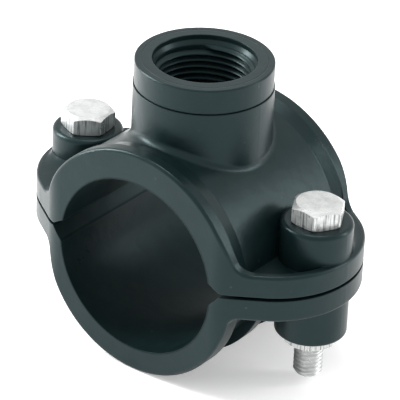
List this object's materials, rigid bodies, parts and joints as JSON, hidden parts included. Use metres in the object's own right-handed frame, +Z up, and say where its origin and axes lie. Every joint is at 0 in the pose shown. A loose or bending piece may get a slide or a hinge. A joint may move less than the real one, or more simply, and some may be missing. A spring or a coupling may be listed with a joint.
{
  "type": "tapping saddle",
  "caption": "Two-part plastic clamp saddle with a threaded branch outlet, closed around a pipe by hexagon bolts and nuts.",
  "frame": {"origin": "centre of the pipe bore, half way along the saddle", "axes": "+Y along the pipe, +X towards the right-hand bolt, +Z up the outlet branch"},
  "size_m": [0.0992, 0.0554, 0.0838],
  "materials": {
    "saddle_plastic": "satin moulded polypropylene, black",
    "ring_plastic": "satin moulded polypropylene, black",
    "seal_rubber": "matt nitrile rubber",
    "zinc_bolt": "bright zinc plate",
    "zinc_nut": "bright zinc plate"
  },
  "bodies": {
    "upper": {"upper_saddle": "saddle_plastic", "outlet_ring": "ring_plastic", "outlet_seal": "seal_rubber"},
    "lower": {"lower_saddle": "saddle_plastic", "nut_left": "zinc_nut", "nut_right": "zinc_nut"},
    "bolt_left": {"bolt_left": "zinc_bolt"},
    "bolt_right": {"bolt_right": "zinc_bolt"}
  },
  "joints": [
    {"name": "bolt_left_turn", "type": "hinge", "parent": "upper", "child": "bolt_left", "pos_m": [-0.0391, 0, 0], "axis": [0, 0, 1], "range_deg": [0, 2520]},
    {"name": "bolt_right_turn", "type": "hinge", "parent": "upper", "child": "bolt_right", "pos_m": [0.0391, 0, 0], "axis": [0, 0, 1], "range_deg": [0, 2520]},
    {"name": "lower_slide", "type": "slide", "parent": "upper", "child": "lower", "axis": [0, 0, -1], "range_m": [0, 0.00875]}
  ],
  "couplings": [
    {"joint": "bolt_right_turn", "follows": "bolt_left_turn", "ratio": 1},
    {"joint": "lower_slide", "follows": "bolt_left_turn", "m_per_rad": 0.00019894}
  ]
}
